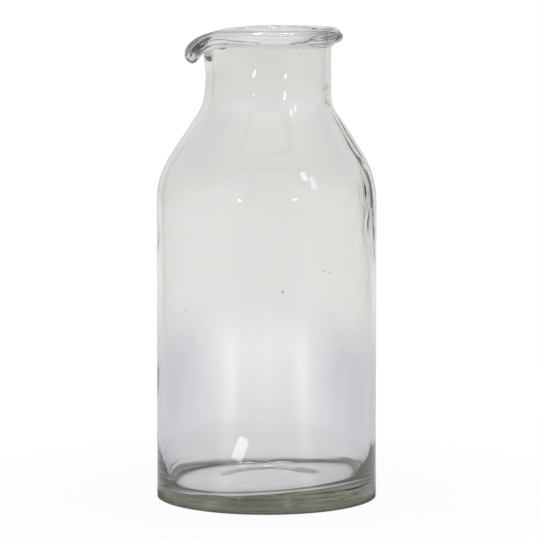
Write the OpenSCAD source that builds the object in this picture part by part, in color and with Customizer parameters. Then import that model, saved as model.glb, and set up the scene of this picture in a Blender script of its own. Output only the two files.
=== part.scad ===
// Blown glass milk jug: a straight body on a heavy base, a round shoulder and a short neck.
// A thick rim is laid round the mouth and turned down on one side into a pouring lip.
// The jug stands on z = 0 with its axis on Z, and the lip points along -X.

/* [Overall] */
// Height from the table to the top of the rim
jug_h = 234.8; // [195:0.2:285]
// Outside diameter of the straight side
body_d = 110; // [91:0.5:132]
// Thickness of the blown wall
wall = 3.2; // [2.4:0.1:4]

/* [Base] */
// Thickness of the glass at the edge of the floor
base_t = 8; // [6:0.5:12]
// Radius of the edge that the jug stands on
heel_r = 2; // [1:0.5:4]
// Radius of the inside corner between the floor and the side
corner_r = 6; // [3:0.5:9]
// Radius of the long curve on which the side thickens down to that corner
swell_r = 100; // [60:5:160]
// How far the inside of the side leans in along that curve, in degrees
swell_lean = 11; // [4:1:16]
// Diameter of the pushed-up middle of the underside
kick_d = 56; // [36:1:70]
// Height of the pushed-up middle of the underside
kick_h = 3.5; // [1:0.5:5]

/* [Shoulder] */
// Outside radius where the side turns in to the shoulder
shoulder_r = 43; // [30:1:50]
// Slope of the shoulder, in degrees from upright
shoulder_slope = 33; // [25:1:40]
// Outside radius where the shoulder turns up into the neck
throat_r = 22; // [12:1:28]

/* [Neck] */
// Outside diameter of the neck
neck_d = 63.4; // [52:0.2:78]
// Height of the neck between the shoulder and the rim
neck_h = 21.9; // [16:0.1:28]

/* [Rim] */
// Height of the rim
rim_h = 9.5; // [7.9:0.1:12]
// How far the rim stands out from the neck
rim_out = 5.6; // [4.6:0.1:7]
// Radius of the widest part of the rim
tip_r = 2.8; // [1.8:0.1:3]
// Height of the widest part above the underside of the rim
tip_h = 4.9; // [4:0.1:6]
// Radius of the outer edge on top of the rim
crown_r = 2.8; // [1.8:0.1:3]
// Distance from the neck's outer face to the middle of that edge
crown_out = 1.9; // [1:0.1:2.5]
// Radius of the inner edge on top of the rim
edge_r = 2.6; // [1.5:0.1:3.5]

/* [Pouring lip] */
// Angle from the middle of the lip to where the rim stands upright again
lip_half_angle = 46; // [37:1:56]
// How far the rim is turned over at the middle of the lip, in degrees
lip_turn = 80; // [60:1:90]
// Share of the turn that the top of the neck already has
lip_start = 0.35; // [0.2:0.05:0.6]
// Angle from the middle of the lip to where the top of the neck is level again
beak_half_angle = 60; // [48:1:72]
// How far the top of the neck is drawn outward at the middle of the lip
beak_draw = 0.5; // [0:0.1:3]
// How far the top of the neck sinks at the middle of the lip
beak_sink = 3.8; // [1:0.1:6]

/* [Hidden] */
glass = [0.8, 0.86, 0.82];
body_r = body_d / 2;
neck_r = neck_d / 2;
kick_r = kick_d / 2;
rim_z = jug_h - rim_h;
neck_z = rim_z - neck_h;
slope_run = body_r - neck_r - (shoulder_r + throat_r) * (1 - cos(shoulder_slope));
shoulder_h = (shoulder_r + throat_r) * sin(shoulder_slope) + slope_run / tan(shoulder_slope);
side_z = neck_z - shoulder_h;
kick_sphere_r = (kick_r * kick_r + kick_h * kick_h) / (2 * kick_h);
edge_centre = [edge_r - wall, rim_h - edge_r];
crown_centre = [crown_out, rim_h - crown_r];
tip_centre = [rim_out - tip_r, tip_h];
arc_steps = 12;
tip_steps = 8;
crown_steps = 4;
edge_steps = 6;
neck_rows = 8;
straight_rows = 4;
stations = 90;
lip_crowding = 26;
station_angles = [for (i = [0:stations - 1])
    let (even = 360 * i / stations - 180)
    even - lip_crowding * sin(even)];
$fn = 96;

// Points along an arc about a centre, between two angles, from its first or a later step
function arc(centre, radius, from, to, steps = arc_steps, first = 0) =
    [for (i = [first:steps])
        let (angle = from + (to - from) * i / steps)
        centre + radius * [cos(angle), sin(angle)]];

// Points on the straight run between two points, without its ends
function between(start, end, steps) = [for (i = [1:steps - 1]) start + (end - start) * i / steps];

// Angle of the outward face of a belt that runs anticlockwise from one circle to the next
function belt_angle(centre, radius, next_centre, next_radius) =
    let (
        step = next_centre - centre,
        angle = atan2(step[1], step[0]) - acos((radius - next_radius) / norm(step))
    )
    angle < -180 ? angle + 360 : angle;

// A smooth hump over the lip, from 1 at its middle down to 0 at a half angle
function hump(angle, half_angle) = abs(angle) < half_angle ? (1 + cos(180 * angle / half_angle)) / 2 : 0;

// Share of the turn at an angle from the middle of the lip
function turn_share(angle) = hump(angle, lip_half_angle);

// Share of the drawing and sinking at an angle from the middle of the lip
function beak_share(angle) = hump(angle, beak_half_angle);

// A point of a section turned outward about the foot of the rim
function turned(point, angle) =
    [point[0] * cos(angle) + point[1] * sin(angle), point[1] * cos(angle) - point[0] * sin(angle)];

// Places a section point at an angle round the jug, counted from the lip
function round_jug(point, angle) = [-point[0] * cos(angle), -point[0] * sin(angle), point[1]];

// The neck's outer face at a share of its height
function neck_face(angle, rise) =
    let (share = beak_share(angle))
    [neck_r + beak_draw * share * rise * rise, neck_z + rise * (neck_h - beak_sink * share)];

// The neck's inner face at a share of its height
function neck_bore(angle, rise) =
    neck_face(angle, rise) + turned([-wall, 0], lip_turn * lip_start * turn_share(angle) * rise * rise);

// The neck's closed section at an angle: up its outer face and down its inner one
function neck_section(angle) = concat(
    [for (i = [0:neck_rows]) neck_face(angle, i / neck_rows)],
    [for (i = [neck_rows:-1:0]) neck_bore(angle, i / neck_rows)]);

// The rim's round outside before it is turned: tip, outer edge and inner edge
tip_start = belt_angle([0, 0], 0, tip_centre, tip_r);
tip_end = belt_angle(tip_centre, tip_r, crown_centre, crown_r);
crown_end = belt_angle(crown_centre, crown_r, edge_centre, edge_r);
rim_outside = concat(
    arc(tip_centre, tip_r, tip_start, tip_end, tip_steps),
    arc(crown_centre, crown_r, tip_end, crown_end, crown_steps),
    arc(edge_centre, edge_r, crown_end, 180, edge_steps));

// The rim's closed section at an angle: foot, underside, outside and inner face
function rim_section(angle) =
    let (turn = lip_turn * turn_share(angle), foot = neck_face(angle, 1))
    concat(
        [foot],
        [for (point = concat(between([0, 0], rim_outside[0], straight_rows), rim_outside))
            foot + turned(point, turn)],
        [for (i = [straight_rows - 1:-1:0])
            let (rise = i / straight_rows, part_turn = turn * (lip_start + (1 - lip_start) * rise))
            foot + turned([-wall, edge_centre[1] * rise], part_turn)]);

// A closed ring of glass through one section at each station
module lofted_ring(sections, cross_split = false) {
    size = len(sections[0]);
    points = [for (i = [0:stations - 1]) for (point = sections[i]) round_jug(point, station_angles[i])];
    faces = [for (i = [0:stations - 1]) for (j = [0:size - 1])
        let (
            a = i * size + j,
            b = i * size + (j + 1) % size,
            c = (i + 1) % stations * size + (j + 1) % size,
            d = (i + 1) % stations * size + j
        )
        each (cross_split ? [[a, b, d], [b, c, d]] : [[a, b, c], [a, c, d]])];
    polyhedron(points, faces);
}

// Heavy pad with the heel, the floor and the pushed-up underside
module base() {
    color(glass)
    difference() {
        rotate_extrude()
        polygon(concat(
            [[0, 0]],
            arc([body_r - heel_r, heel_r], heel_r, -90, 0),
            [[body_r, base_t], [0, base_t]]));
        translate([0, 0, kick_h - kick_sphere_r])
        sphere(kick_sphere_r);
    }
}

// Blown wall of the straight side and the shoulder
module body() {
    shoulder_centre = [body_r - shoulder_r, side_z];
    throat_centre = [neck_r + throat_r, neck_z];
    swell_centre = [body_r - wall - swell_r, base_t + corner_r + (swell_r - corner_r) * sin(swell_lean)];
    corner_centre = swell_centre + (swell_r - corner_r) * [cos(swell_lean), -sin(swell_lean)];
    color(glass)
    rotate_extrude()
    polygon(concat(
        [[body_r, base_t]],
        arc(shoulder_centre, shoulder_r, 0, shoulder_slope),
        arc(throat_centre, throat_r, 180 + shoulder_slope, 180),
        arc(throat_centre, throat_r + wall, 180, 180 + shoulder_slope),
        arc(shoulder_centre, shoulder_r - wall, shoulder_slope, 0),
        arc(swell_centre, swell_r, 0, -swell_lean),
        arc(corner_centre, corner_r, -swell_lean, -90, first = 1)));
}

// Short neck, drawn outward under the lip
module neck() {
    color(glass)
    lofted_ring([for (angle = station_angles) neck_section(angle)]);
}

// Thick rim, turned over and down at the lip
module rim() {
    color(glass)
    lofted_ring([for (angle = station_angles) rim_section(angle)], true);
}

base();
body();
neck();
rim();
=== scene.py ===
import math
import random

import bmesh
import bpy
from mathutils import Matrix, Vector, noise


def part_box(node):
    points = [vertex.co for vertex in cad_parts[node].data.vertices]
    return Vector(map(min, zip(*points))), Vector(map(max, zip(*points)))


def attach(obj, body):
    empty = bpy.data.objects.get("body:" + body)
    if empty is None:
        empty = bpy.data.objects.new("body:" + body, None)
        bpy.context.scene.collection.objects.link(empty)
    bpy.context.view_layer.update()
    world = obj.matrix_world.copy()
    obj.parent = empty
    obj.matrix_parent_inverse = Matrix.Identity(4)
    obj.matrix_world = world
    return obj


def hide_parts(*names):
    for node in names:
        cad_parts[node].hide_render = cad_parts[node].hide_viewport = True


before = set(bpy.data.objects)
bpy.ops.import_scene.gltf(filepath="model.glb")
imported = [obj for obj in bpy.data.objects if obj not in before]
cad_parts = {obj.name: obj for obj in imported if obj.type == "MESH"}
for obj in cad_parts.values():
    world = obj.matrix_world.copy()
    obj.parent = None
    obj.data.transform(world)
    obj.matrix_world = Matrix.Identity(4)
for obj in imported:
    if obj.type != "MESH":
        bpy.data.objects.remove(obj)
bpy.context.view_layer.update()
scene = bpy.context.scene
scene.view_settings.view_transform = "Standard"
print("frame loaded:", ", ".join(sorted(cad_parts)))

jugShape = {
    "wall": 0.0032,            # blown wall, metres
    "heelRadius": 0.002,
    "kickRadius": 0.028,       # pushed-up middle of the underside
    "kickHeight": 0.0035,
    "kickEdge": 0.0012,        # soft edge round the pushed-up middle
    "cornerRadius": 0.006,     # inside, between floor and side
    "swellRadius": 0.100,      # long curve on which the side thickens towards the floor
    "swellLean": 11,           # degrees
    "shoulderRadius": 0.043,
    "shoulderSlope": 33,       # degrees from upright
    "throatRadius": 0.022,
    "rimHeight": 0.0095,
    "tipRadius": 0.0028,       # widest part of the rim
    "tipHeight": 0.0049,
    "crownRadius": 0.0028,     # outer edge on top of the rim
    "crownOut": 0.0019,
    "edgeRadius": 0.0026,      # inner edge on top of the rim
    "lipMiddle": 180,          # degrees round the jug
    "lipHalfAngle": 46,        # degrees from the middle of the lip to the upright rim
    "lipTurn": 80,
    "lipStart": 0.35,          # share of the turn at the top of the neck
    "beakHalfAngle": 60,       # the neck sinks and is drawn out within this angle
    "beakDraw": 0.0005,
    "beakSink": 0.0038,
    "sideSteps": 256,          # faces round the jug
    "arcSteps": 4,             # on the shortest arcs
    "spacing": 0.0030,         # between rings of the mesh
    "rimSpacing": 0.0006,
    "crease": 0.00025,         # keeps the foot of the rim crisp
    "samePoint": 1e-6,         # points closer than this are one
}

# Heights and radii that the CAD nodes fix
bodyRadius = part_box("body")[1].x
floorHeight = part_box("base")[1].z
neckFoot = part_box("neck")[0].z
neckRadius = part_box("neck")[1].x
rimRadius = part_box("rim")[1].x
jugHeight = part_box("rim")[1].z
rimFoot = jugHeight - jugShape["rimHeight"]

# Height at which the straight side turns in to the shoulder
shoulderLean = math.radians(jugShape["shoulderSlope"])
turnRadius = jugShape["shoulderRadius"] + jugShape["throatRadius"]
slopeRun = bodyRadius - neckRadius - turnRadius * (1 - math.cos(shoulderLean))
sideTop = neckFoot - turnRadius * math.sin(shoulderLean) - slopeRun / math.tan(shoulderLean)

handBlown = {
    "neckLean": 0.00078,             # the neck stands this far towards +X
    "leanFrom": 0.150,
    "boreShift": -0.0004,            # the inside stands this far off the axis, so one wall is thicker
    "boreFrom": (0.012, 0.040),
    "floorSlope": (0.064, -0.043),   # the floor is not level, and thinner in the middle
    "floorDrop": 0.0017,
    "floorReach": 0.030,             # how far up the wall this goes
    # the middle of the floor is pushed up with the underside
    "floorHump": {"radius": 0.020, "height": 0.0017, "ripple": 0.0003, "ripples": 2.2},
    # places where the neck and the shoulder are a little hollow
    "hollows": ({"turn": 180, "width": 50, "height": 0.2122, "tall": 0.0080, "depth": 0.00075},
                {"turn": 0, "width": 60, "height": 0.2130, "tall": 0.0110, "depth": 0.00030},
                {"turn": 0, "width": 40, "height": 0.1955, "tall": 0.0055, "depth": 0.00070}),
    # and the front of the neck leans out towards the shoulder
    "frontSwell": {"turn": -90, "width": 52, "top": 0.2235, "bend": 0.0166, "slope": 0.15,
                   "from": (0.165, 0.198)},
    # broad and fine waves: how many round the jug, how many up it, and a seed
    "outerWave": {"depth": 0.00010, "from": (0.004, 0.024), "inset": 1.2,
                  "broad": (1.1, 10, 5), "fine": (5, 16, 9), "fineShare": 0.4},
    "innerWave": {"depth": 0.00026, "from": (0.003, 0.022),
                  "broad": (1.3, 12, 3), "fine": (4, 22, 7), "fineShare": 0.5},
    "thickPatch": {"turn": -4, "width": 16, "low": 0.112, "high": 0.200, "depth": 0.0016,
                   "wave": (9, 90, 13), "waveShare": 0.8},
    "rimWave": {"depth": 0.00020, "rise": 0.006, "level": (1.2, 0, 21), "levelShare": 1.2,
                "broad": (2.2, 60, 23), "fine": (6, 120, 29), "fineShare": 0.5},
    "waveSeeds": (1, 1.7, 0.6),                                  # steps between seeds
    "rimRaise": {"turn": -142, "width": 34, "height": 0.0012},   # the rim is higher on this side of the lip
    "rimDip": {"turn": 142, "width": 34, "depth": 0.0013},       # and lower on this one
    "rimLevel": 0.82,                                            # but its highest part stays nearly level
    "rimSlope": {"fall": 0.085, "reach": 0.0045, "from": (0.0055, 0.0090)},   # its top falls outward
    # end of the rim's trail, lapped over: a tongue that starts as a point and widens
    "lap": {"start": -60, "end": 24, "height": 0.00045, "middle": 0.62, "climb": 0.35,
            "point": 0.0004, "widening": 0.0026, "edge": (0.0004, 0.0008),
            "fadeIn": 0.15, "fadeOut": 0.4, "clear": 0.002},
}


def arcPoints(centreR, centreZ, radius, start, end, spacing=jugShape["spacing"]):
    span = math.radians(end - start)
    steps = max(jugShape["arcSteps"], math.ceil(abs(span) * radius / spacing))
    angles = [math.radians(start) + span * i / steps for i in range(steps + 1)]
    return [(centreR + radius * math.cos(a), centreZ + radius * math.sin(a)) for a in angles]


def linePoints(start, end, spacing):
    length = math.dist(start, end)
    steps = max(1, math.ceil(length / spacing))
    return [(start[0] + (end[0] - start[0]) * i / steps, start[1] + (end[1] - start[1]) * i / steps)
            for i in range(1, steps)]


def joinRuns(*runs, spacing=jugShape["spacing"]):
    points = list(runs[0])
    for run in runs[1:]:
        gap = math.dist(points[-1], run[0])
        points += linePoints(points[-1], run[0], spacing)
        points += run if gap > jugShape["samePoint"] else run[1:]
    return points


def beltAngle(first, firstRadius, second, secondRadius):
    step = (second[0] - first[0], second[1] - first[1])
    angle = math.atan2(step[1], step[0]) - math.acos((firstRadius - secondRadius) / math.hypot(*step))
    angle = math.degrees(angle)
    return angle + 360 if angle < -180 else angle


def rimRun():
    s = jugShape
    fine = s["rimSpacing"]
    foot = (neckRadius, rimFoot)
    tip = (rimRadius - s["tipRadius"], rimFoot + s["tipHeight"])
    crown = (neckRadius + s["crownOut"], jugHeight - s["crownRadius"])
    edge = (neckRadius - s["wall"] + s["edgeRadius"], jugHeight - s["edgeRadius"])
    tipStart = beltAngle(foot, 0, tip, s["tipRadius"])
    tipEnd = beltAngle(tip, s["tipRadius"], crown, s["crownRadius"])
    crownEnd = beltAngle(crown, s["crownRadius"], edge, s["edgeRadius"])
    return joinRuns(
        [(foot[0], foot[1] - s["crease"]), foot, (foot[0] + s["crease"], foot[1] + s["crease"] / 2)],
        arcPoints(*tip, s["tipRadius"], tipStart, tipEnd, fine),
        arcPoints(*crown, s["crownRadius"], tipEnd, crownEnd, fine),
        arcPoints(*edge, s["edgeRadius"], crownEnd, 180, fine),
        [(neckRadius - s["wall"], rimFoot)], spacing=fine)


def jugProfile():
    s = jugShape
    lean = math.radians(s["swellLean"])
    shoulder = (bodyRadius - s["shoulderRadius"], sideTop)
    throat = (neckRadius + s["throatRadius"], neckFoot)
    swellReach = s["swellRadius"] - s["cornerRadius"]
    swell = (bodyRadius - s["wall"] - s["swellRadius"],
             floorHeight + s["cornerRadius"] + swellReach * math.sin(lean))
    corner = (swell[0] + swellReach * math.cos(lean), floorHeight + s["cornerRadius"])
    kickSphere = (s["kickRadius"] ** 2 + s["kickHeight"] ** 2) / (2 * s["kickHeight"])
    kickEnd = 90 - math.degrees(math.asin((s["kickRadius"] - s["kickEdge"]) / kickSphere))
    outside = joinRuns(
        arcPoints(0, s["kickHeight"] - kickSphere, kickSphere, 90, kickEnd),
        [(s["kickRadius"] + s["kickEdge"], 0)],
        arcPoints(bodyRadius - s["heelRadius"], s["heelRadius"], s["heelRadius"], -90, 0, s["rimSpacing"]),
        arcPoints(*shoulder, s["shoulderRadius"], 0, s["shoulderSlope"]),
        arcPoints(*throat, s["throatRadius"], 180 + s["shoulderSlope"], 180))
    inside = joinRuns(
        arcPoints(*throat, s["throatRadius"] + s["wall"], 180, 180 + s["shoulderSlope"]),
        arcPoints(*shoulder, s["shoulderRadius"] - s["wall"], s["shoulderSlope"], 0),
        arcPoints(*swell, s["swellRadius"], 0, -s["swellLean"]),
        arcPoints(*corner, s["cornerRadius"], -s["swellLean"], -90, s["rimSpacing"]),
        [(0, floorHeight)])
    return joinRuns(outside, rimRun(), inside)


def degreesAway(turn, middle):
    return math.degrees(math.remainder(turn - math.radians(middle), 2 * math.pi))


def ramp(value, start, end):
    share = min(1, max(0, (value - start) / (end - start)))
    return share * share * (3 - 2 * share)


def hump(away, halfAngle):
    return (1 + math.cos(math.pi * away / halfAngle)) / 2 if abs(away) < halfAngle else 0


def bell(turn, place):
    return math.exp(-(degreesAway(turn, place["turn"]) / place["width"]) ** 2)


def wave(turn, height, turns, rises, seed):
    point = Vector((math.cos(turn) * turns, math.sin(turn) * turns, height * rises))
    return noise.noise(point + Vector([seed * step for step in handBlown["waveSeeds"]]))


def twoWaves(turn, height, look):
    return wave(turn, height, *look["broad"]) + look["fineShare"] * wave(turn, height, *look["fine"])


def turned(out, up, angle):
    c, s = math.cos(angle), math.sin(angle)
    return out * c + up * s, up * c - out * s


def drawToLip(radius, height, turn):
    s = jugShape
    if height <= neckFoot:
        return radius, height
    away = degreesAway(turn, s["lipMiddle"])
    fullTurn = math.radians(s["lipTurn"]) * hump(away, s["lipHalfAngle"])
    beak = hump(away, s["beakHalfAngle"])
    rise = min(1, (height - neckFoot) / (rimFoot - neckFoot))
    faceRadius = neckRadius + s["beakDraw"] * beak * rise ** 2
    faceHeight = neckFoot + rise * (rimFoot - neckFoot - s["beakSink"] * beak)
    out, up = radius - neckRadius, max(0, height - rimFoot)
    if rise < 1:
        part = s["lipStart"] * rise ** 2
    elif out < 0:
        innerRise = min(1, up / (s["rimHeight"] - s["edgeRadius"]))
        part = s["lipStart"] + (1 - s["lipStart"]) * innerRise
    else:
        part = 1
    out, up = turned(out, up, fullTurn * part)
    return faceRadius + out, faceHeight + up


def hollowed(height, turn):
    swell = handBlown["frontSwell"]
    down = max(0, swell["top"] - max(height, neckFoot))
    out = down ** 2 / (2 * swell["bend"]) if down < swell["bend"] else down - swell["bend"] / 2
    out *= swell["slope"] * bell(turn, swell) * ramp(height, *swell["from"])
    return sum(h["depth"] * bell(turn, h) * math.exp(-((height - h["height"]) / h["tall"]) ** 2)
               for h in handBlown["hollows"]) - out


def blowOutside(radius, height, turn):
    look = handBlown["outerWave"]
    clear = ramp(height, *look["from"])      # the foot stays true
    waves = twoWaves(turn, height, look) - look["inset"]
    return radius - hollowed(height, turn) + look["depth"] * clear * waves, height


def humpHeight(radius, turn):
    look = handBlown["floorHump"]
    away = radius / look["radius"]
    ripple = noise.noise(Vector((math.cos(turn), math.sin(turn), 0)) * away * look["ripples"])
    return math.exp(-away ** 2) * (look["height"] + look["ripple"] * ripple)


def blowInside(radius, height, turn):
    h = handBlown
    look, patch = h["innerWave"], h["thickPatch"]
    clear = ramp(height, *(floorHeight + start for start in look["from"]))
    radius += look["depth"] * clear * twoWaves(turn, height, look)
    radius -= hollowed(height, turn)
    middle = (patch["low"] + patch["high"]) / 2
    inPatch = bell(turn, patch) * ramp(height, patch["low"], middle) * ramp(-height, -patch["high"], -middle)
    radius -= patch["depth"] * inPatch * (1 + patch["waveShare"] * wave(turn, height, *patch["wave"]))
    low = max(0, 1 - (height - floorHeight) / h["floorReach"])
    slopeX, slopeY = h["floorSlope"]
    height += low ** 2 * (radius * (slopeX * math.cos(turn) + slopeY * math.sin(turn)) - h["floorDrop"])
    return radius, height + low ** 2 * humpHeight(radius, turn)


def layRim(radius, height, turn):
    look, slope, lap = handBlown["rimWave"], handBlown["rimSlope"], handBlown["lap"]
    up = height - rimFoot
    if up < 0:
        return radius, height
    top = ramp(up, 0, look["rise"])
    height += top * look["depth"] * (look["levelShare"] * wave(turn, 0, *look["level"]) - look["levelShare"])
    radius += top * look["depth"] * twoWaves(turn, height, look)
    fromEdge = radius - neckRadius + jugShape["wall"] - jugShape["edgeRadius"]
    height -= slope["fall"] * min(slope["reach"], max(0, fromEdge)) * ramp(up, *slope["from"])
    along = degreesAway(turn, lap["start"]) / (lap["end"] - lap["start"])
    if 0 < along < 1 and radius > neckRadius:
        middle = jugShape["tipHeight"] * (lap["middle"] + lap["climb"] * along)
        half = lap["point"] + lap["widening"] * along
        beside = ramp(abs(up - middle), half - lap["edge"][0], half + lap["edge"][1])
        fade = ramp(along, 0, lap["fadeIn"]) * ramp(1 - along, 0, lap["fadeOut"])
        radius -= lap["height"] * beside * fade * ramp(up, 0, lap["clear"])
    return radius, height


def levelRim(height, turn):
    raised, dip = handBlown["rimRaise"], handBlown["rimDip"]
    rise = max(0, (height - neckFoot) / (rimFoot - neckFoot))
    share = min(1, rise) ** 2
    topShare = 1 - handBlown["rimLevel"] * ramp(height, rimFoot, jugHeight)
    return share * (raised["height"] * bell(turn, raised) * topShare - dip["depth"] * bell(turn, dip))


def neckShift(height):
    return handBlown["neckLean"] * ramp(height, handBlown["leanFrom"], neckFoot)


def shapeByHand(co, isInner):
    h = handBlown
    radius, height, turn = math.hypot(co.x, co.y), co.z, math.atan2(co.y, co.x)
    shift = neckShift(co.z)
    if radius > jugShape["samePoint"]:
        blow = blowInside if isInner else blowOutside
        newRadius, newHeight = layRim(*blow(radius, height, turn), turn)
        lift = levelRim(height, turn)
        radius, height = drawToLip(newRadius, newHeight, turn)
        height += lift
        if isInner:
            shift += h["boreShift"] * ramp(co.z, *h["boreFrom"]) * ramp(-co.z, -neckFoot, -h["leanFrom"])
    elif isInner:
        height += humpHeight(0, 0) - h["floorDrop"]
    return Vector((radius * math.cos(turn) + shift, radius * math.sin(turn), height))


seedBubbles = {
    # turn, height and radius of the larger ones
    "seen": ((-81.7, 0.1092, 0.00050), (-136.7, 0.0978, 0.00032), (-59.2, 0.1186, 0.00034),
             (-55.5, 0.1174, 0.00030), (-32.2, 0.0922, 0.00030), (-91.3, 0.0922, 0.00026),
             (-106.0, 0.1460, 0.00026)),
    "seenStretch": 1.3,
    "seenDepth": 0.5,             # share of the wall
    # the small ones, strewn through the wall
    "count": 60,
    "heights": (0.03, 0.145),
    "sizes": (0.00010, 0.00024),
    "stretches": (1, 1.6),
    "depths": (0.35, 0.65),
    # and a cluster on the shoulder
    "cluster": {"count": 16, "turn": -20, "spread": 9, "heights": (0.192, 0.207), "sizes": (0.00024, 0.0005)},
    "subdivisions": 2,
    "randomSeed": 11,
}


def wallRadius(height):
    throat = jugShape["throatRadius"]
    throatLow = neckFoot - throat * math.sin(shoulderLean)
    if height < sideTop:
        return bodyRadius
    if height > throatLow:
        rise = neckFoot - min(height, neckFoot)
        return neckRadius + throat - math.sqrt(throat ** 2 - rise ** 2)
    return neckRadius + throat * (1 - math.cos(shoulderLean)) + (throatLow - height) * math.tan(shoulderLean)


def addBubble(bm, turn, height, size, stretch, deep):
    radius = wallRadius(height) - jugShape["wall"] * deep
    place = Matrix.Translation((radius * math.cos(turn) + neckShift(height), radius * math.sin(turn), height))
    shape = Matrix.Diagonal((size, size, size * stretch, 1))
    bubble = bmesh.ops.create_icosphere(bm, subdivisions=seedBubbles["subdivisions"], radius=1,
                                        matrix=place @ shape)
    faces = {face for vert in bubble["verts"] for face in vert.link_faces}
    bmesh.ops.reverse_faces(bm, faces=list(faces))      # a bubble is a hole in the glass


def addSeedBubbles(bm):
    b = seedBubbles
    c = b["cluster"]
    draw = random.Random(b["randomSeed"])
    for turn, height, size in b["seen"]:
        addBubble(bm, math.radians(turn), height, size, b["seenStretch"], b["seenDepth"])
    for i in range(b["count"]):
        addBubble(bm, draw.uniform(0, 2 * math.pi), draw.uniform(*b["heights"]), draw.uniform(*b["sizes"]),
                  draw.uniform(*b["stretches"]), draw.uniform(*b["depths"]))
    for i in range(c["count"]):
        turn = math.radians(c["turn"] + draw.uniform(-1, 1) * c["spread"])
        addBubble(bm, turn, draw.uniform(*c["heights"]), draw.uniform(*c["sizes"]),
                  draw.uniform(*b["stretches"]), draw.uniform(*b["depths"]))


airFolds = {
    # air that the folded rim keeps: each runs between two angles, counted from the lip towards the
    # near side; then its middle, out and up from the foot of the rim, and half its width and height
    "folds": ((-84, 136, (0.0017, 0.0052), (0.0013, 0.0024)),
              (112, 158, (0.0031, 0.0071), (0.0004, 0.0006)),
              (126, 176, (0.0038, 0.0052), (0.0005, 0.0007)),
              (118, 170, (0.0029, 0.0033), (0.0004, 0.0005)),
              (138, 196, (0.0012, 0.0061), (0.0006, 0.0008)),
              (146, 204, (0.0022, 0.0043), (0.0005, 0.0006)),
              (161, 218, (0.0028, 0.0068), (0.0005, 0.0005)),
              (-30, 150, (0.0023, 0.0086), (0.00045, 0.00022))),
    "steps": 160,
    "sides": 20,
    "ends": (4, 0.8),         # how blunt the ends are
    "wave": (3, 0, 31),
    "waveShare": 0.35,
}


# The sphere is drawn out along the rim, which also turns its faces in, as a hole in the glass needs
def addAirFold(bm, start, end, middle, half):
    look = airFolds
    blunt, full = look["ends"]
    fold = bmesh.ops.create_uvsphere(bm, u_segments=look["sides"], v_segments=look["steps"], radius=1)
    for vert in fold["verts"]:
        along = 1 - 2 * math.acos(max(-1, min(1, vert.co.z))) / math.pi
        around = math.atan2(vert.co.y, vert.co.x)
        turn = math.radians(jugShape["lipMiddle"] + (start + end) / 2 + (end - start) / 2 * along)
        share = max(0, 1 - along ** blunt) ** full * (1 + look["waveShare"] * wave(turn, 0, *look["wave"]))
        radius = neckRadius + middle[0] + half[0] * share * math.cos(around)
        height = rimFoot + middle[1] + half[1] * share * math.sin(around)
        vert.co = shapeByHand(Vector((radius * math.cos(turn), radius * math.sin(turn), height)), False)


def makeAir():
    bm = bmesh.new()
    addSeedBubbles(bm)
    for fold in airFolds["folds"]:
        addAirFold(bm, *fold)
    air = bpy.data.meshes.new("air")
    bm.to_mesh(air)
    bm.free()
    return air


def makeJug():
    profile = jugProfile()
    bm = bmesh.new()
    innerMark = bm.verts.layers.int.new("inner")
    verts = []
    rimTop = max(range(len(profile)), key=lambda i: profile[i][1])
    for i, (radius, height) in enumerate(profile):
        vert = bm.verts.new((radius, 0, height))
        vert[innerMark] = int(i > rimTop)
        verts.append(vert)
    edges = [bm.edges.new(pair) for pair in zip(verts, verts[1:])]
    bmesh.ops.spin(bm, geom=verts + edges, axis=(0, 0, 1), cent=(0, 0, 0),
                   angle=2 * math.pi, steps=jugShape["sideSteps"], use_merge=True)
    bmesh.ops.remove_doubles(bm, verts=bm.verts, dist=jugShape["samePoint"])
    for vert in bm.verts:
        vert.co = shapeByHand(vert.co, vert[innerMark])
    bmesh.ops.recalc_face_normals(bm, faces=bm.faces)
    air = makeAir()
    bm.from_mesh(air)
    bpy.data.meshes.remove(air)
    for face in bm.faces:
        face.smooth = True
    mesh = bpy.data.meshes.new("jug")
    bm.to_mesh(mesh)
    bm.free()
    jug = bpy.data.objects.new("jug", mesh)
    scene.collection.objects.link(jug)
    print("jug:", len(mesh.polygons), "faces,", len(profile), "rings")
    return jug


# What the glass, the floor and the room all use to build their nodes
def nodeKit(tree):
    nodes, links = tree.nodes, tree.links

    def plug(socket, value):
        if isinstance(value, bpy.types.NodeSocket):
            links.new(value, socket)
        else:
            socket.default_value = value

    def feed(node, *values):
        for socket, value in zip(node.inputs, values):
            plug(socket, value)
        return node.outputs[0]

    def fill(node, values):
        for name, value in values.items():
            plug(node.inputs[name], value)
        return node.outputs[0] if node.outputs else None

    def reckon(operation, *values):
        node = nodes.new("ShaderNodeMath")
        node.operation = operation
        return feed(node, *values)

    def between(value, start, end, low, high, shape="SMOOTHSTEP"):
        node = nodes.new("ShaderNodeMapRange")
        node.interpolation_type = shape
        return feed(node, value, start, end, low, high)

    def mixed(factor, first, second):
        return feed(nodes.new("ShaderNodeMixShader"), factor, first, second)

    return feed, fill, reckon, between, mixed


glassLook = {
    "color": (1, 1, 1, 1),
    "indexOfRefraction": 1.51,
    "tint": (0.655, 0.672, 0.600, 1),   # olive where the glass is thick
    "tintDensity": 38,
    "scuffTop": 0.0007,                 # the standing ring is scuffed up to here
    "scuffRoughness": 0.2,
    "smearScale": 18,
    "smearFrom": (0.55, 0.75),
    "smearRoughness": 0.02,
    "streakScale": (22, 22, 330),       # level streaks on the side of the base
    "streakTop": 0.013,
    "streakFull": 0.6,                  # share of that height up to which they are full
    "streakDepth": 0.0006,
    "rippleScale": 70,
    "rippleDepth": 0.00008,
    "detail": 1,                        # of streaks and ripples
}


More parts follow.
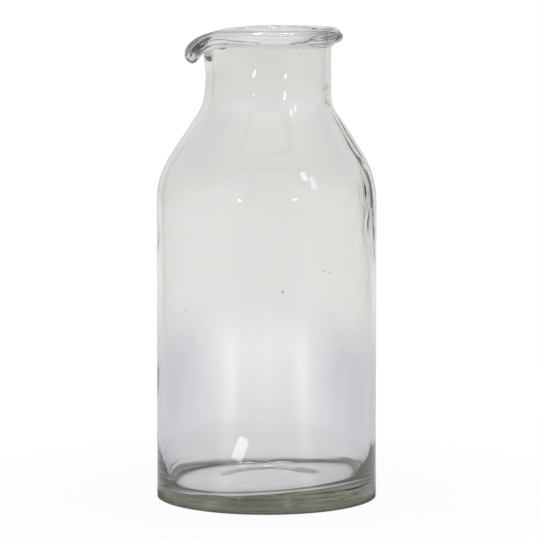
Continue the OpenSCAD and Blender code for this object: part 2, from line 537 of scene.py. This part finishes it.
def makeGlass():
    look = glassLook
    glass = bpy.data.materials.new("clear_glass")
    glass.use_nodes = True
    nodes = glass.node_tree.nodes
    feed, fill, reckon, between = nodeKit(glass.node_tree)[:4]
    place = nodes.new("ShaderNodeTexCoord").outputs["Object"]
    split = nodes.new("ShaderNodeSeparateXYZ")
    feed(split, place)
    height = split.outputs["Z"]
    scuff = between(height, 0, look["scuffTop"], look["scuffRoughness"], 0, "LINEAR")
    smear = fill(nodes.new("ShaderNodeTexNoise"), {"Vector": place, "Scale": look["smearScale"]})
    smear = between(smear, *look["smearFrom"], 0, look["smearRoughness"], "LINEAR")
    ripple = fill(nodes.new("ShaderNodeTexNoise"),
                  {"Vector": place, "Scale": look["rippleScale"], "Detail": look["detail"]})
    rippled = fill(nodes.new("ShaderNodeBump"),
                   {"Strength": 1, "Distance": look["rippleDepth"], "Height": ripple})
    stretch = nodes.new("ShaderNodeVectorMath")
    stretch.operation = "MULTIPLY"
    streak = fill(nodes.new("ShaderNodeTexNoise"),
                  {"Vector": feed(stretch, place, look["streakScale"]), "Scale": 1, "Detail": look["detail"]})
    low = between(height, look["streakFull"] * look["streakTop"], look["streakTop"], 1, 0, "LINEAR")
    streaked = fill(nodes.new("ShaderNodeBump"),
                    {"Strength": low, "Distance": look["streakDepth"], "Height": streak, "Normal": rippled})
    fill(nodes["Principled BSDF"],
         {"Base Color": look["color"], "Transmission Weight": 1, "IOR": look["indexOfRefraction"],
          "Roughness": reckon("MAXIMUM", scuff, smear), "Normal": streaked})
    absorb = fill(nodes.new("ShaderNodeVolumeAbsorption"),
                  {"Color": look["tint"], "Density": look["tintDensity"]})
    fill(nodes["Material Output"], {"Volume": absorb})
    return glass


jug = makeJug()
jug.data.materials.append(makeGlass())
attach(jug, "root")
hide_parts("base", "body", "neck", "rim")
print("glass made")

floorLook = {
    "radius": 1.0,
    "segments": 64,
    "below": 0.0002,
    "color": (0.86, 0.86, 0.875, 1),
    "white": (1, 1, 1, 1),
    "nearWhite": 0.93,                   # how white the camera sees the floor beside the jug
    "whiteRange": (0.06, 0.24),
    "endRange": (0.42, 0.82),            # the floor ends softly between these distances
    "glassShare": 0.9,                   # what the glass shows of the floor
    "lit": (0.80, 0.81, 0.84, 1),        # painted light in line with the jug
    "unlit": (0.625, 0.633, 0.685, 1),   # painted shade to both sides of that
    "litRange": (0.020, 0.090),
    "litNear": (0.88, 1.03),             # painted light, weaker near the jug, stronger far behind it
    "nearRange": (0.10, 0.30),
    "litFar": 0.15,
    "farRange": (0.30, 0.60),
    "contactRange": (0.042, 0.068),      # and a painted contact shadow where the jug stands on it
    "contactDark": 0.9,
    "lineRange": (0.0546, 0.0553),       # the painted shadow line at its foot
    "lineColor": (0.10, 0.10, 0.085, 1),
    "frontRange": (-0.12, -0.05),        # and painted shade close to its near side
    "frontReach": (0.12, 0.22),
    "frontDark": 0.75,
    "mirrorLevel": 0.8,                  # what the outside mirrors of the floor
    "gleams": 36,                        # degrees to both sides, where the windows light the floor
    "gleamWidth": 8,
    "gleamStrength": 2.2,
    "gleamRange": (0.20, 0.60),
    "gleamRise": (0.7, 1.6),
    "spot": (-0.098, -0.222),            # and where one of them falls on it, mirrored by the front
    "spotHalf": (0.020, 0.036),
    "spotEdge": (0.8, 1.1),
    "spotStrength": 8,
}


def makeFloorPaint():
    look = floorLook
    paint = bpy.data.materials.new("floor_white")
    paint.use_nodes = True
    nodes = paint.node_tree.nodes
    nodes.remove(nodes["Principled BSDF"])
    feed, fill, reckon, between, mixed = nodeKit(paint.node_tree)

    def glow(color, strength=1):
        return feed(nodes.new("ShaderNodeEmission"), color, strength)

    def inSpot(value, middle, half):
        away = reckon("ABSOLUTE", reckon("SUBTRACT", value, middle))
        return between(away, *(edge * half for edge in look["spotEdge"]), 1, 0)

    path = nodes.new("ShaderNodeLightPath").outputs
    split = nodes.new("ShaderNodeSeparateXYZ")
    feed(split, nodes.new("ShaderNodeTexCoord").outputs["Object"])
    x, y = split.outputs["X"], split.outputs["Y"]
    distance = reckon("SQRT", reckon("ADD", reckon("MULTIPLY", x, x), reckon("MULTIPLY", y, y)))
    # the floor through the glass, with painted light in line with the jug and painted shade beside it
    aside = between(reckon("ABSOLUTE", x), *look["litRange"], 0, 1)
    # painted contact shadow: a dark ring round the jug's foot
    contactFrom, contactTo = look["contactRange"]
    ring = reckon("ABSOLUTE", reckon("SUBTRACT", distance, (contactFrom + contactTo) / 2))
    contactShadow = between(ring, 0, (contactTo - contactFrom) / 2, 1 - look["contactDark"], 1)
    # painted shade on the floor close to the jug's near side
    front = reckon("MULTIPLY", between(y, *look["frontRange"], 1, 0),
                   between(distance, *look["frontReach"], 1, 0))
    shade = reckon("MULTIPLY", contactShadow, reckon("MULTIPLY_ADD", front, -look["frontDark"], 1))
    farther = reckon("ADD", between(distance, *look["nearRange"], *look["litNear"]),
                     between(distance, *look["farRange"], 0, look["litFar"]))
    inLine = glow(look["lit"], reckon("MULTIPLY", shade, farther))
    seenThrough = mixed(aside, inLine, glow(look["unlit"], shade))
    # the floor mirrored by the glass
    turn = reckon("ABSOLUTE", reckon("ARCTAN2", x, reckon("MULTIPLY", y, -1)))
    off = reckon("DIVIDE", reckon("SUBTRACT", turn, math.radians(look["gleams"])),
                 math.radians(look["gleamWidth"]))
    gleam = reckon("EXPONENT", reckon("MULTIPLY", reckon("MULTIPLY", off, off), -1))
    gleam = reckon("MULTIPLY", gleam, between(distance, *look["gleamRange"], *look["gleamRise"]))
    spot = reckon("MULTIPLY", *(inSpot(*axis) for axis in zip((x, y), look["spot"], look["spotHalf"])))
    level = reckon("MULTIPLY_ADD", gleam, look["gleamStrength"], look["mirrorLevel"])
    # the painted contact shadow darkens the mirrored floor too
    level = reckon("MULTIPLY", reckon("MULTIPLY_ADD", spot, look["spotStrength"], level), contactShadow)
    inGlass = mixed(path["Is Transmission Ray"], glow(look["lit"], level), seenThrough)
    # and what the camera sees of it
    whiteness = between(distance, *look["whiteRange"], look["nearWhite"], 1)
    matte = feed(nodes.new("ShaderNodeBsdfDiffuse"), look["color"])
    shown = mixed(reckon("MULTIPLY", path["Is Camera Ray"], whiteness), matte, glow(look["white"]))
    # painted shadow line round the jug's foot, as the camera sees it
    shadowLine = reckon("MULTIPLY", path["Is Camera Ray"], between(distance, *look["lineRange"], 1, 0))
    shown = mixed(shadowLine, shown, glow(look["lineColor"]))
    glassRay = reckon("MAXIMUM", path["Is Glossy Ray"], path["Is Transmission Ray"])
    shown = mixed(reckon("MULTIPLY", glassRay, look["glassShare"]), shown, inGlass)
    clear = feed(nodes.new("ShaderNodeBsdfTransparent"))
    shown = mixed(between(distance, *look["endRange"], 0, 1), shown, clear)
    fill(nodes["Material Output"], {"Surface": shown})
    return paint


def makeFloor():
    look = floorLook
    bm = bmesh.new()
    bmesh.ops.create_circle(bm, cap_ends=True, segments=look["segments"], radius=look["radius"],
                            matrix=Matrix.Translation((0, 0, -look["below"])))
    mesh = bpy.data.meshes.new("floor")
    bm.to_mesh(mesh)
    bm.free()
    floor = bpy.data.objects.new("floor", mesh)
    scene.collection.objects.link(floor)
    mesh.materials.append(makeFloorPaint())


makeFloor()
print("floor made")

studio = {
    "white": (1, 1, 1, 1),
    "ambient": 0.75,                  # soft light on the floor
    # what the glass shows of the room, by sine of elevation
    "through": ((-0.16, (0.84, 0.84, 0.83, 1)),
                (-0.10, (0.82, 0.82, 0.81, 1)),
                (-0.066, (0.755, 0.755, 0.74, 1)),
                (-0.045, (0.73, 0.73, 0.715, 1)),
                (0.10, (0.78, 0.78, 0.765, 1)),
                (0.35, (0.80, 0.80, 0.79, 1)),
                (0.75, (0.58, 0.58, 0.57, 1))),
    # where the outside mirrors the room, it is brighter overhead and darker behind the camera
    "ceiling": 1.4,
    "ceilingRange": (0.5, 0.85),
    "darkness": 0.65,
    "darkRange": (-0.72, -0.95),
    # and darker where light was mirrored inside the glass and went through many faces, as in the rim
    "trapped": {"mirrored": (1, 2), "passed": (2, 4), "darkness": 0.95},
}


def makeWorld():
    look = studio
    trapped = look["trapped"]
    world = bpy.data.worlds.new("studio")
    scene.world = world
    world.use_nodes = True
    nodes = world.node_tree.nodes
    nodes.clear()
    feed, fill, reckon, between, mixed = nodeKit(world.node_tree)

    def background(color, strength):
        return feed(nodes.new("ShaderNodeBackground"), color, strength)

    def byHeight(sine, stops):
        node = nodes.new("ShaderNodeValToRGB")
        node.color_ramp.interpolation = "EASE"
        elements = node.color_ramp.elements
        while len(elements) < len(stops):
            elements.new(0.5)
        for element, (height, color) in zip(elements, stops):
            element.position = height / 2 + 0.5                      # sines run from -1, the ramp from 0
            element.color = color
        return feed(node, reckon("MULTIPLY_ADD", sine, 0.5, 0.5))

    split = nodes.new("ShaderNodeSeparateXYZ")
    feed(split, nodes.new("ShaderNodeTexCoord").outputs["Generated"])
    y, z = split.outputs["Y"], split.outputs["Z"]
    path = nodes.new("ShaderNodeLightPath").outputs
    passing = path["Is Transmission Ray"]
    behind = between(y, *look["darkRange"], 0, look["darkness"])
    above = between(z, *look["ceilingRange"], 0, look["ceiling"])
    bright = reckon("MULTIPLY_ADD", reckon("SUBTRACT", above, behind), reckon("SUBTRACT", 1, passing), 1)
    often = between(path["Glossy Depth"], *trapped["mirrored"], 0, trapped["darkness"], "LINEAR")
    deep = between(path["Transmission Depth"], *trapped["passed"], 0, passing, "LINEAR")
    bright = reckon("MULTIPLY", bright, reckon("SUBTRACT", 1, reckon("MULTIPLY", often, deep)))
    inGlass = background(byHeight(z, look["through"]), bright)
    glassRay = reckon("MAXIMUM", path["Is Glossy Ray"], passing)
    lit = mixed(glassRay, background(look["white"], look["ambient"]), inGlass)
    shown = mixed(path["Is Camera Ray"], lit, background(look["white"], 1))
    fill(nodes.new("ShaderNodeOutputWorld"), {"Surface": shown})


makeWorld()
print("world made")

lighting = {
    "aimHeight": 0.12,
    # the windows only gleam on the glass, the overhead only lights the floor
    "windows": {
        "windowLeft": {"azimuth": -28, "elevation": 9, "distance": 1.9, "size": (0.12, 0.085),
                       "radiance": 9, "color": (1, 0.99, 0.97)},
        "windowRight": {"azimuth": 31, "elevation": 10, "distance": 1.9, "size": (0.09, 0.08),
                        "radiance": 8, "color": (0.98, 0.99, 1)},
        "skylight": {"azimuth": 47, "elevation": 36, "distance": 1.9, "size": (0.10, 0.36),
                     "radiance": 6, "color": (0.82, 0.90, 1)},
        "skyStrip": {"azimuth": 55, "elevation": 27, "distance": 1.9, "size": (0.12, 0.48),
                     "radiance": 3.5, "color": (0.80, 0.88, 1)},
        "highLeft": {"azimuth": -24, "elevation": 72, "distance": 1.9, "size": (0.26, 0.62),
                     "radiance": 20, "color": (1, 1, 1)},
        "highRight": {"azimuth": 60, "elevation": 70, "distance": 1.9, "size": (0.16, 0.50),
                      "radiance": 18, "color": (1, 1, 1)},
    },
    "overhead": {"azimuth": 30, "elevation": 72, "distance": 1.6, "size": (1.2, 1.2),
                 "radiance": 0.9, "color": (1, 1, 1)},
}


def makeLamp(name, look, onGlass):
    light = bpy.data.lights.new(name, "AREA")
    light.shape = "RECTANGLE"
    light.size, light.size_y = look["size"]
    light.energy = look["radiance"] * math.pi * light.size * light.size_y
    light.color = look["color"]
    a, e = math.radians(look["azimuth"]), math.radians(look["elevation"])
    toLamp = Vector((math.sin(a) * math.cos(e), -math.cos(a) * math.cos(e), math.sin(e)))
    lamp = bpy.data.objects.new(name, light)
    lamp.location = Vector((0, 0, lighting["aimHeight"])) + toLamp * look["distance"]
    lamp.rotation_euler = (-toLamp).to_track_quat("-Z", "Y").to_euler()
    lamp.visible_camera = False
    lamp.visible_diffuse = not onGlass
    lamp.visible_glossy = onGlass
    lamp.visible_transmission = onGlass
    scene.collection.objects.link(lamp)


for windowName, window in lighting["windows"].items():
    makeLamp(windowName, window, True)
makeLamp("overhead", lighting["overhead"], False)
print("lamps made")

cameraView = {
    "distance": 1.655,
    "height": 0.308,
    "aimHeight": 0.11355,
    "aside": 0.00172,
    "lens": 222.3,
    "bounces": {"all": 32, "transmission": 28, "glossy": 16},    # light passes many faces in the rim
}


def makeCamera():
    view = cameraView
    camera = bpy.data.objects.new("camera", bpy.data.cameras.new("camera"))
    camera.data.lens = view["lens"]
    camera.location = (view["aside"], -view["distance"], view["height"])
    gaze = Vector((view["aside"], 0, view["aimHeight"])) - camera.location
    camera.rotation_euler = gaze.to_track_quat("-Z", "Y").to_euler()
    scene.collection.objects.link(camera)
    scene.camera = camera
    scene.cycles.max_bounces = view["bounces"]["all"]
    scene.cycles.transmission_bounces = view["bounces"]["transmission"]
    scene.cycles.glossy_bounces = view["bounces"]["glossy"]


makeCamera()
print("camera made")
